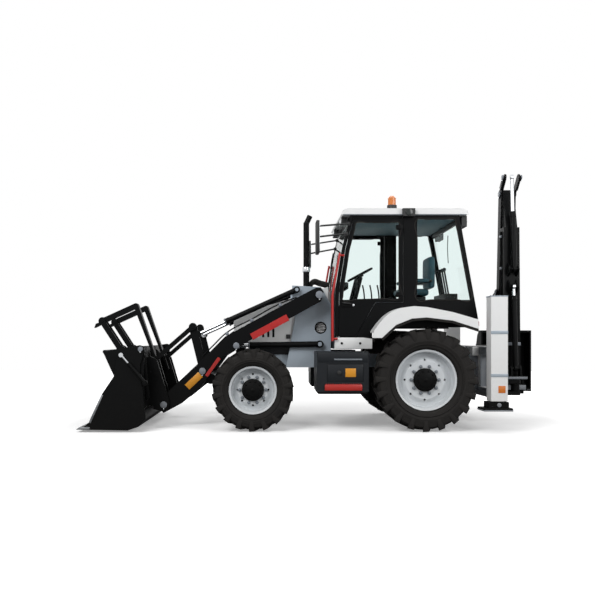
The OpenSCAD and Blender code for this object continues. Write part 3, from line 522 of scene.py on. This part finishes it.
def door_trim(side, sign):
    """Seal round the window, a lower pane of painted shade for the dark cab inside behind its glass, handle, lock and
    hinges of a door.
    """
    body = "door_" + side
    y = sign * (CAB_HALF + 4)
    pipe("door_seal_" + side, [at(x, y, z) for x, z in thick_loop(DOOR_WINDOW)], 0.007, RUBBER, body, True)
    pane = sorted((sign * CAB_HALF, sign * (CAB_HALF + 3)))
    # The lower pane is an opaque sheet of painted shade, not see-through glass.
    side_plate("door_lower_pane_" + side, [(-1052, 1250), (-868, 1250), (-662, 1606), (-1035, 1606)], pane[0], pane[1],
               SHADE_PAINTED_GLASS, body, 0.001)
    grip = [at(-1030, y + sign * 4, 1655), at(-1020, y + sign * 34, 1650), at(-930, y + sign * 34, 1640),
            at(-915, y + sign * 4, 1636)]
    pipe("door_grip_" + side, grip, 0.009, PLASTIC, body)
    drum("door_lock_" + side, at(-890, y, 1620), at(-890, y + sign * 10, 1620), 0.016, CHROME, body, 0.002)
    for i, z in enumerate((1760, 2640)):
        drum("door_hinge_%s_%d" % (side, i), at(HINGE_X, sign * HINGE_Y, z - 45), at(HINGE_X, sign * HINGE_Y, z + 45),
             0.007, BLACK, "chassis", 0.002)
        block("hinge_leaf_%s_%d" % (side, i), *corner_pair(at(-330, y, z - 30), at(-236, y + sign * 9, z + 30)), BLACK,
              body, 0.003)


def glass_seals():
    """Black rubber round the fixed side windows."""
    for side, sign in SIDES:
        pipe("quarter_seal_" + side, [at(x, sign * CAB_HALF, z) for x, z in thick_loop(QUARTER_WINDOW)], 0.008,
             RUBBER, "chassis", True)


def roof_trim():
    """Dark headliner under the roof, a drip rail along each side and ribs pressed in its top."""
    block("headliner", at(-880, -735, 2752), at(470, 735, 2762), LINER, "chassis", 0.004)
    for side, sign in SIDES:
        pipe("drip_rail_" + side, [at(x, sign * 800, 2806) for x in (-1025, -600, -200, 200, 590)], 0.008, GREY_PLASTIC,
             "chassis")
    for i in range(4):
        block("roof_rib_%d" % i, at(-760 + i * 330, -560, 2889), at(-620 + i * 330, 560, 2897), WHITE, "chassis", 0.004)


def beacon_base():
    """Black base of the amber beacon."""
    low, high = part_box("beacon")
    middle = (low + high) / 2
    radius = (high.x - low.x) / 2
    foot = Vector((middle.x, middle.y, low.z))
    drum("beacon_base", foot, foot + Vector((0, 0, (high.z - low.z) * 0.38)), radius + 0.003, PLASTIC, "chassis", 0.004)


def lamp_faces():
    """Lenses in the work lamps, the nose lamps and the rear lamps."""
    for side, sign in SIDES:
        for i, y in enumerate((560, 680)):
            drum("rear_work_lens_%s_%d" % (side, i), at(614, sign * y, 2730), at(622, sign * y, 2730), 0.046, CLEAR,
                 "chassis", 0.003)
        for i, y in enumerate((470, 590)):
            drum("front_work_lens_%s_%d" % (side, i), at(-1030, sign * y, 2750), at(-1037, sign * y, 2750), 0.044,
                 CLEAR, "chassis", 0.003)
        # The side work lamp's lens is an opaque dark sheet: painted shade of the lamp's inside.
        drum("side_work_lens_" + side, at(-170, sign * 860, 2829), at(-170, sign * 867, 2829), 0.045, SHADE_PAINTED_GLASS,
             "chassis", 0.003)
        block("nose_lamp_" + side, *corner_pair(at(-2478, sign * 120, 1322), at(-2450, sign * 300, 1432)), GREY_PLASTIC,
              "chassis", 0.01)
        drum("nose_lens_" + side, at(-2476, sign * 210, 1377), at(-2484, sign * 210, 1377), 0.046, CLEAR,
             "chassis", 0.003)
        block("tail_lamp_" + side, *corner_pair(at(655, sign * 900, 1340), at(676, sign * 1080, 1400)), RED_LENS,
              "chassis", 0.006)


def mirror_faces():
    """Silvered glass and a black rim on the back of each mirror plate."""
    for side, sign in SIDES:
        block("mirror_glass_" + side, *corner_pair(at(-1349, sign * 866, 2292), at(-1344, sign * 1034, 2673)), MIRROR,
              "chassis", 0.002)
        block("mirror_rim_" + side, *corner_pair(at(-1392, sign * 846, 2270), at(-1349.5, sign * 1054, 2695)), PLASTIC,
              "chassis", 0.012)


def wipers():
    """Wiper arm and blade on the windscreen and on the rear window."""
    pipe("front_wiper_arm", [at(-1112, 60, 1880), at(-1105, 200, 2080), at(-1078, 330, 2280)], 0.007, PLASTIC,
         "chassis")
    pipe("front_wiper_blade", [at(-1105, 180, 1930), at(-1085, 330, 2250), at(-1045, 420, 2450)], 0.006, RUBBER,
         "chassis")
    pipe("rear_wiper_arm", [at(545, -40, 2640), at(580, 120, 2480), at(615, 220, 2280)], 0.006, PLASTIC, "chassis")


def side_box_faces():
    """Lid seam, knob, blank yellow plate and the red grip step on each side box."""
    for side, sign in SIDES:
        y = sign * BOX_OUT
        block("box_lid_" + side, *corner_pair(at(-1365, y, 880), at(-728, y + sign * 6, 1003)), SLATE, "chassis", 0.004)
        block("box_panel_" + side, *corner_pair(at(-1245, y - sign * 9, 628), at(-785, y - sign * 3, 852)), SLATE,
              "chassis", 0.006)
        drum("box_knob_" + side, at(-1095, y - sign * 8, 745), at(-1095, y + sign * 18, 745), 0.026, PLASTIC, "chassis",
             0.004)
        block("blank_plate_" + side, *corner_pair(at(-1015, y - sign * 4, 690), at(-880, y, 800)), AMBER_PAINT,
              "chassis", 0.002)
        block("step_groove_" + side, *corner_pair(at(-1160, y, 905), at(-800, y + sign * 9, 925)),
              GREY_PLASTIC, "chassis", 0.004)
        block("step_tread_" + side, *corner_pair(at(-1280, y - sign * 130, 516), at(-800, y + sign * 22, 596)), RED,
              "chassis", 0.008)
        ribs = [block("rib", *corner_pair(at(x, y - sign * 120, 595), at(x + 13, y + sign * 20, 603)), RED, None, 0.002)
                for x in [-1265 + i * RIB_PITCH for i in range(16)]]
        joined("step_ribs_" + side, ribs, "chassis")
        block("box_skid_" + side, *corner_pair(at(-1365, y - sign * 560, 470), at(-730, y - sign * 5, 500)), BLACK,
              "chassis", 0.006)


def fender_lips():
    """Dark rubber lip under the white edge of each fender."""
    low = [(663, 1304), (334, 1411), (5, 1450), (-184, 1436), (-387, 1354), (-564, 1190)]
    for side, sign in SIDES:
        y = sorted((sign * 1070, sign * 1104))
        outline = low + [(x + (12 if x < 0 else 0), z - 34) for x, z in reversed(low)]
        side_plate("fender_lip_" + side, outline, y[0], y[1], RUBBER, "chassis", 0.004)


def exhaust_parts():
    """Steel clamp and foot on the stack, and the air ducts that run back to the cab."""
    drum("stack_clamp", at(*STACK, 2096), at(*STACK, 2165), 0.054, CHROME, "chassis", 0.004)
    drum("stack_foot", at(*STACK, 1740), at(*STACK, 1840), 0.06, BLACK, "chassis", 0.006)
    for i, (y, z) in enumerate(((-240, 1935), (-150, 1925))):
        pipe("air_duct_%d" % i, [at(-1440, y, 1850), at(-1380, y, z + 40), at(-1280, y, z + 20), at(-1160, y, z - 10)],
             0.034, RUBBER, "chassis")


def seat_cushions():
    """Sprung seat: cushion, backrest and armrests in vinyl over the pedestal."""
    parts = []
    for name, low, high, edge in (("cushion", at(-195, -235, 1770), at(240, 235, 1885), 0.045),
                                  ("backrest", at(225, -225, 1880), at(330, 225, 2335), 0.045),
                                  ("arm_pad_left", at(-130, -312, 1958), at(220, -252, 2012), 0.02),
                                  ("arm_pad_right", at(-130, 252, 1958), at(220, 312, 2012), 0.02)):
        pad = block("seat_" + name, low, high, VINYL, None, edge)
        smooth = pad.modifiers.new("crown", "SUBSURF")
        smooth.levels = smooth.render_levels = 1
        bpy.context.view_layer.objects.active = pad
        bpy.ops.object.modifier_apply(modifier=smooth.name)
        parts.append(pad)
    cover = joined("seat_cover", parts, "chassis")
    base = block("seat_pedestal", at(-120, -170, 1431), at(200, 170, 1772), PLASTIC, None, 0.012)
    bar = block("seat_arm_bar", at(170, -300, 1962), at(260, 300, 1998), PLASTIC, None, 0.01)
    stand = joined("seat_stand", [base, bar], "chassis")
    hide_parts("seat")


def dashboard():
    """Instrument pod in front of the steering wheel, and a side console with its levers."""
    block("dash_pod", at(-1060, -330, 1860), at(-900, 330, 1960), PLASTIC, "chassis", 0.02)
    block("side_console", at(-620, 420, 1432), at(150, 700, 1760), GREY_PLASTIC, "chassis", 0.02)
    for i in range(3):
        x = -560 + i * LEVER_PITCH
        pipe("dash_lever_%d" % i, [at(x, 560, 1755), at(x - 10, 560, 1880), at(x - 30, 560, 1985)], 0.011, PLASTIC,
             "chassis")


def hood_trim():
    """Rubber seam along the hood's lower edge and a latch on each side."""
    for side, sign in SIDES:
        y = sign * 366
        pipe("hood_seam_" + side, [at(x, y, HOOD_EDGE_Z) for x in (-2470, -2200, -1900, -1570)], 0.006, RUBBER,
             "hood")
        block("hood_latch_" + side, *corner_pair(at(-1760, y, 1180), at(-1700, y + sign * 14, 1240)), PLASTIC, "hood",
              0.006)


def nose_mesh():
    """Round wires behind the nose bars."""
    wires = []
    for i in range(15):
        y = -285 + i * WIRE_PITCH
        wires.append(drum("wire", at(-2419, y, 1002), at(-2419, y, 1298), 0.004, BLACK, None, 0.001, 6))
    joined("nose_mesh", wires, "chassis")


def tower_vents():
    """Round barred vents in the loader towers."""
    for side, sign in SIDES:
        clear_selection()
        middle = at(-1290, sign * 404, 1330)
        bpy.ops.mesh.primitive_torus_add(major_radius=0.075, minor_radius=0.009, major_segments=48, minor_segments=10,
                                         location=middle, rotation=(math.pi / 2, 0, 0))
        ring = settle(bpy.context.object, "vent_ring", BLACK, None)
        bars = [drum("vent_bar", middle + Vector((-0.07, 0, d)), middle + Vector((0.07, 0, d)), 0.004, BLACK, None,
                     0.001, 8) for d in (-0.04, -0.02, 0.0, 0.02, 0.04)]
        joined("tower_vent_" + side, [ring] + bars, "chassis")


sills()
for side, sign in SIDES:
    door_trim(side, sign)
glass_seals()
roof_trim()
beacon_base()
lamp_faces()
mirror_faces()
wipers()
side_box_faces()
fender_lips()
exhaust_parts()
seat_cushions()
dashboard()
hood_trim()
nose_mesh()
tower_vents()


# Loader

# Millimetres: outer face of the arms, the cylinders' plane, and pins measured from the arms' pivot
ARM_OUT = 650
CYLINDER_Y = 454
ARM_PIVOT = (-1325, 1765)
BUCKET_PIN = (-2065, -1460)
LEVER_PIVOT = (-1555, -1015)
LIFT_BASE = (20, -658)
LIFT_EYE = (-1105, -677)
TILT_BASE = (-293, 82)
TILT_EYE = (-1640, -525)
CLAM_PIN = (-2285, -715)


def from_pivot(dx, dz):
    """A point in the side view measured from the loader arms' pivot."""
    return ARM_PIVOT[0] + dx, ARM_PIVOT[1] + dz


def bar_outline(a, b, width):
    """A straight band between two points of the side view."""
    run = Vector((b[0] - a[0], b[1] - a[1]))
    across = Vector((-run.y, run.x)).normalized() * width / 2
    return [(a[0] + across.x, a[1] + across.y), (b[0] + across.x, b[1] + across.y),
            (b[0] - across.x, b[1] - across.y), (a[0] - across.x, a[1] - across.y)]


def arm_marks():
    """Red band along each arm's lower bend and a blank amber plate at its elbow."""
    for side, sign in SIDES:
        y = sorted((sign * ARM_OUT, sign * (ARM_OUT + 3)))
        side_plate("arm_band_" + side, bar_outline(from_pivot(-1500, -1085), from_pivot(-1340, -860), 34), y[0], y[1],
                   RED, "loader_arms", 0.001)
        side_plate("arm_plate_" + side, bar_outline(from_pivot(-1760, -1230), from_pivot(-1580, -1060), 90), y[0], y[1],
                   AMBER_PAINT, "loader_arms", 0.001)


def pin_cap(name, x, z, y, sign, radius, body):
    """Round pin end with a keeper plate and its bolt."""
    parts = [drum("pin_end", at(x, y, z), at(x, y + sign * 16, z), radius, STEEL_GREY, None, 0.004),
             block("keeper", *corner_pair(at(x - 14, y, z - radius * 1000 * 1.5), at(x + 14, y + sign * 9, z)), BLACK,
                   None, 0.003),
             drum("keeper_bolt", at(x, y + sign * 8, z - radius * 1000 * 1.25),
                  at(x, y + sign * 18, z - radius * 1000 * 1.25), 0.009, CHROME, None, 0.001, 6)]
    return joined(name, parts, body)


def loader_pins():
    """Pin ends on the arm pivots, the bucket hinges and the levers."""
    for side, sign in SIDES:
        pin_cap("arm_pivot_cap_" + side, *from_pivot(0, 0), sign * (ARM_OUT + 20), sign, 0.05, "chassis")
        pin_cap("bucket_pin_cap_" + side, *from_pivot(*BUCKET_PIN), sign * (ARM_OUT + 40), sign, 0.045, "loader_bucket")
        pin_cap("lever_pin_cap_" + side, *from_pivot(*LEVER_PIVOT), sign * ARM_OUT, sign, 0.045, "loader_arms")
        pin_cap("lift_pin_cap_" + side, *from_pivot(*LIFT_EYE), sign * ARM_OUT, sign, 0.042, "loader_arms")
        pin_cap("clam_pin_cap_" + side, *from_pivot(*CLAM_PIN), sign * 1166, sign, 0.032, "loader_bucket")


def arm_pipes():
    """Two steel oil pipes clamped along the inside of each arm's top."""
    for side, sign in SIDES:
        for i, lift in enumerate((0, 26)):
            run = [(-300, -50), (-520, -135), (-900, -342), (-1230, -520), (-1420, -700), (-1560, -840)]
            pipe("arm_pipe_%s_%d" % (side, i),
                 [at(*swap(from_pivot(dx, dz + 22), sign * (565 + lift))) for dx, dz in run], 0.009, BLACK,
                 "loader_arms")
        clamps = [block("clamp", *corner_pair(at(*swap(from_pivot(dx - 20, dz - 5), sign * 550)),
                                              at(*swap(from_pivot(dx + 20, dz + 38), sign * 606))), STEEL_GREY, None,
                        0.004) for dx, dz in ((-520, -150), (-900, -357), (-1230, -535))]
        joined("arm_pipe_clamps_" + side, clamps, "loader_arms")


def bucket_wear():
    """Ground steel cutting edge, wear straps under the floor and edges on the cheeks."""
    side_plate("cutting_edge", [(-4421, 38), (-4250, 30), (-4250, 68), (-4385, 68)], -1163, 1163, GROUND, "clam", 0.002)
    for i in range(5):
        y = -960 + i * 480
        side_plate("wear_strap_%d" % i, [(-4240, 17), (-3790, 15), (-3790, 27), (-4240, 29)], y - 50, y + 50, GROUND,
                   "clam", 0.002)
    for side, sign in SIDES:
        y = sorted((sign * 1160, sign * 1168))
        outline = [(-4262, 125), (-4199, 269), (-4104, 476), (-4080, 470), (-4172, 262), (-4236, 118)]
        side_plate("cheek_edge_" + side, outline, y[0], y[1], GROUND, "clam", 0.002)


def bucket_ribs():
    """Stiffening ribs on the back of the bucket and a bar along its top lip."""
    for i, y in enumerate((-900, -250, 250, 900)):
        side_plate("back_rib_%d" % i, [(-3648, 1040), (-3590, 380), (-3540, 420), (-3590, 980)], y - 10, y + 10, BLACK,
                   "loader_bucket", 0.003)
    drum("lip_bar", at(-4080, -1100, 1016), at(-4080, 1100, 1016), 0.022, BLACK, "loader_bucket", 0.003)


def loader_cylinder_glands():
    """Gland rings on the lift and tilt cylinders."""
    for side, sign in SIDES:
        y = sign * CYLINDER_Y
        gland_ring("tilt_gland_" + side, from_pivot(*TILT_BASE), from_pivot(*TILT_EYE), 1062, 0.044, y, "tilt_barrels")
        gland_ring("lift_gland_" + side, from_pivot(*LIFT_BASE), from_pivot(*LIFT_EYE), 962, 0.047, y, "lift_barrels")


def gland_ring(name, a, b, along, radius, y, body):
    """A ring round a barrel's mouth, along its axis from a to b."""
    run = Vector((b[0] - a[0], b[1] - a[1])).normalized()
    low = (a[0] + run.x * (along - 14), a[1] + run.y * (along - 14))
    high = (a[0] + run.x * (along + 9), a[1] + run.y * (along + 9))
    clear_selection()
    bpy.ops.mesh.primitive_torus_add(major_radius=radius, minor_radius=0.006, major_segments=40, minor_segments=8,
                                     location=(at(*swap(low, y)) + at(*swap(high, y))) / 2,
                                     rotation=Vector((run.x, 0, run.y)).to_track_quat("Z", "Y").to_euler())
    return settle(bpy.context.object, name, STEEL_GREY, body)


# Backhoe

# Millimetres: the boom's foot pin, pins measured from it, the boom's lean, and the stabilisers' outer face
BOOM_FOOT = (1580, 480)
BOOM_HEAD = (165, 2770)
DIPPER_TAIL = (-25, 2970)
EAR_OUT = 106
CHEEK_OUT = EAR_OUT + 18
BOOM_LEAN = 0.022
LEG_OUT = 1195
TOOTH_PITCH = 165


def from_foot(dx, dz):
    """A point in the side view measured from the boom's foot pin."""
    return BOOM_FOOT[0] + dx, BOOM_FOOT[1] + dz


def backhoe_pins():
    """Pin ends down the backhoe."""
    for side, sign in SIDES:
        pin_cap("boom_foot_cap_" + side, *BOOM_FOOT, sign * 150, sign, 0.042, "kingpost")
        pin_cap("boom_head_cap_" + side, *from_foot(*BOOM_HEAD), sign * EAR_OUT, sign, 0.04, "boom")
        pin_cap("tail_cap_" + side, *from_foot(*DIPPER_TAIL), sign * CHEEK_OUT, sign, 0.034, "dipper")
        pin_cap("dip_tip_cap_" + side, *from_foot(280, 1010), sign * 136, sign, 0.036, "dig_bucket")
        pin_cap("lever_cap_" + side, *from_foot(260, 1370), sign * 132, sign, 0.03, "dipper")


def backhoe_pipes():
    """Steel oil pipes clamped to the sides of the boom."""
    for side, sign in SIDES:
        for i in range(2):
            x = 20 + i * 26
            pipe("boom_pipe_%s_%d" % (side, i), [at(*swap(from_foot(x + z * BOOM_LEAN, z), sign * 120))
                                                 for z in (350, 800, 1300, 1800, 2220)], 0.008, BLACK, "boom")
        clamps = [block("clamp", *corner_pair(at(*swap(from_foot(5 + z * BOOM_LEAN, z - 18), sign * 110)),
                                              at(*swap(from_foot(62 + z * BOOM_LEAN, z + 18), sign * 132))), STEEL_GREY,
                        None, 0.004) for z in (500, 1100, 1700, 2150)]
        joined("boom_clamps_" + side, clamps, "boom")


def tail_cheeks():
    """Doubler plates on the outside of the dipper's two tail ears."""
    for side, sign in SIDES:
        y = sorted((sign * EAR_OUT, sign * CHEEK_OUT))
        side_plate("tail_cheek_" + side, bar_outline(from_foot(108, 2830), from_foot(*DIPPER_TAIL), 80), y[0], y[1],
                   BLACK, "dipper", 0.004)


def swing_bands():
    """Steel bands round the boom's foot and across the kingpost."""
    block("boom_band", at(*swap(from_foot(-64, 605), -114)), at(*swap(from_foot(94, 650), 114)), STEEL_GREY, "boom",
          0.004)
    block("kingpost_band_high", at(SWING_X - 64, -152, 622), at(SWING_X - 58, 152, 655), STEEL_GREY, "kingpost", 0.002)
    block("kingpost_band_low", at(SWING_X - 4, -150, 472), at(SWING_X + 2, 150, 538), STEEL_GREY, "kingpost", 0.002)


def frame_cheeks():
    """Steel cheek and face plates on the frame ahead of the stabilisers."""
    for side, sign in SIDES:
        y = sorted((sign * 302, sign * 310))
        side_plate("frame_cheek_" + side, [(560, 790), (610, 520), (888, 480), (888, 948), (560, 948)], y[0], y[1],
                   STEEL_GREY, "chassis", 0.003)
        block("post_face_" + side, *corner_pair(at(888, sign * 419, 532), at(982, sign * 427, 958)), STEEL_GREY,
              "chassis", 0.003)
    for i, z in enumerate((410, 960)):
        block("beam_face_%d" % i, at(876, -1000, z + 3), at(882, 1000, z + 117), STEEL_GREY, "chassis", 0.002)


def tooth_caps():
    """Ground points on the digging bucket's teeth."""
    points = []
    for i in range(-2, 3):
        y = i * TOOTH_PITCH
        points.append(side_plate("tooth", [(1762, 424), (1802, 424), (1802, 455), (1775, 450)], y - 26, y + 26, GROUND,
                                 None, 0.003))
    joined("tooth_caps", points, "dig_bucket")


def bucket_straps():
    """Pale wear straps across the back of the digging bucket."""
    for i, z in enumerate((1060, 760, 640)):
        block("dig_strap_%d" % i, at(2035, -362, z), at(2042, 362, z + 46), STEEL_GREY, "dig_bucket", 0.003)


def stabiliser_faces():
    """Reflectors, flange plates, caps, foot pads and foot pins on the stabilisers."""
    for side, sign in SIDES:
        y = sign * LEG_OUT
        block("leg_reflector_" + side, *corner_pair(at(880, y, 500), at(970, y + sign * 5, 590)), AMBER, "chassis",
              0.004)
        for i, z in enumerate((700, 1240)):
            corners = corner_pair(at(786, y - sign * 4, z), at(1003, y + sign * 6, z + 40))
            block("leg_flange_%s_%d" % (side, i), *corners, GREY, "chassis", 0.004)
        block("leg_cap_" + side, *corner_pair(at(784, sign * 1001, 1708), at(1006, sign * 1199, 1722)), GREY, "chassis",
              0.005)
        block("foot_pad_" + side, *corner_pair(at(685, sign * 956, 272), at(1055, sign * 1244, 290)), STEEL_GREY,
              "leg_" + side, 0.006)
        drum("foot_pin_" + side, at(885, sign * 985, 350), at(885, sign * 1225, 350), 0.026, STEEL_GREY,
             "leg_" + side, 0.004)


arm_marks()
loader_pins()
arm_pipes()
bucket_wear()
bucket_ribs()
loader_cylinder_glands()
backhoe_pins()
backhoe_pipes()
tail_cheeks()
swing_bands()
frame_cheeks()
tooth_caps()
bucket_straps()
stabiliser_faces()


# Floor, light and camera

# Metres: the floor's side, where its shadow begins to fade and where it is plain white, and its least glow
FLOOR_SIZE = 30
SHADOW_REACH = 3.4
WHITE_REACH = 5.2
FLOOR_GLOW = 0.28

# Strength of the white surround on surfaces and to the eye, the lamps' target, and each lamp's place, size and watts
SURROUND = (0.26, 1.0)
LAMP_TARGET = Vector((0, 0, 1.2))
LAMPS = {"key": ((-5.5, -8.5, 8.0), 5.0, 740), "fill": ((6.0, -7.0, 5.0), 5.0, 310),
         "top": ((0.0, 0.0, 16.0), 8.0, 460), "back": ((3.0, 8.0, 6.0), 5.0, 180)}


def stage_floor():
    """A pale seamless floor that shows white to the camera and keeps the shadow."""
    clear_selection()
    bpy.ops.mesh.primitive_plane_add(size=FLOOR_SIZE, location=(0, 0, 0))
    floor = bpy.context.object
    floor.name = "studio_floor"
    made, tree, shader, place = begin("pale_floor")
    path = add(tree, "ShaderNodeLightPath").outputs
    seen = add(tree, "ShaderNodeMath", {"operation": "MAXIMUM"},
               {0: path["Is Camera Ray"], 1: path["Is Transmission Ray"]}).outputs[0]
    shade = add(tree, "ShaderNodeMix", {"data_type": "RGBA", 6: linear("#8c8c8c"), 7: linear("#fafafa")},
                {0: seen}).outputs[2]
    tree.links.new(shade, shader.inputs["Base Color"])
    reach = add(tree, "ShaderNodeVectorMath", {"operation": "LENGTH"}, {0: place}).outputs["Value"]
    far = add(tree, "ShaderNodeMapRange", {"From Min": SHADOW_REACH, "From Max": WHITE_REACH,
                                             "To Min": FLOOR_GLOW}, {"Value": reach}).outputs["Result"]
    fade = add(tree, "ShaderNodeMath", {"operation": "MULTIPLY"}, {0: far, 1: seen}).outputs[0]
    tree.links.new(fade, shader.inputs["Emission Strength"])
    shader.inputs["Emission Color"].default_value = (1, 1, 1, 1)
    shader.inputs["Roughness"].default_value = 0.9
    floor.data.materials.append(made)


def studio_light():
    """A white surround for the camera, the glass and reflections, and the soft lamps."""
    world = bpy.data.worlds.new("studio")
    bpy.context.scene.world = world
    world.use_nodes = True
    tree = world.node_tree
    back = tree.nodes["Background"]
    path = add(tree, "ShaderNodeLightPath").outputs
    seen = add(tree, "ShaderNodeMath", {"operation": "MAXIMUM"},
               {0: path["Is Camera Ray"], 1: path["Is Transmission Ray"]}).outputs[0]
    seen = add(tree, "ShaderNodeMath", {"operation": "MAXIMUM"}, {0: seen, 1: path["Is Glossy Ray"]}).outputs[0]
    tree.links.new(between(tree, seen, *SURROUND), back.inputs["Strength"])
    back.inputs["Color"].default_value = (1, 1, 1, 1)
    for name, (place, size, watts) in LAMPS.items():
        bpy.ops.object.light_add(type="AREA", location=place)
        lamp = bpy.context.object
        lamp.name = name + "_light"
        lamp.data.energy = watts
        lamp.data.size = size
        lamp.visible_camera = False
        lamp.visible_transmission = False
        lamp.rotation_euler = (LAMP_TARGET - Vector(place)).to_track_quat("-Z", "Y").to_euler()


# The photo's width, focal length, optical axis and middle in its own pixels, and the camera's place in millimetres
PHOTO_W = 595
FOCAL_PX = 700
AXIS_PX = (270, 338)
CENTRE_PX = (297.5, 299.5)
CAMERA_PLACE = (-1981, -9966, 1190)
SENSOR_MM = 36


def side_camera():
    """Square to the left side, its axis below the middle of the frame as in the photo."""
    data = bpy.data.cameras.new("side_camera")
    camera = bpy.data.objects.new("side_camera", data)
    bpy.context.scene.collection.objects.link(camera)
    camera.location = at(*CAMERA_PLACE)
    camera.rotation_euler = (math.pi / 2, 0, 0)
    data.sensor_fit = "HORIZONTAL"
    data.sensor_width = SENSOR_MM
    data.lens = FOCAL_PX / PHOTO_W * SENSOR_MM
    data.shift_x = (CENTRE_PX[0] - AXIS_PX[0]) / PHOTO_W
    data.shift_y = (AXIS_PX[1] - CENTRE_PX[1]) / PHOTO_W
    bpy.context.scene.camera = camera


stage_floor()
studio_light()
side_camera()
bpy.context.scene.view_settings.view_transform = "Standard"
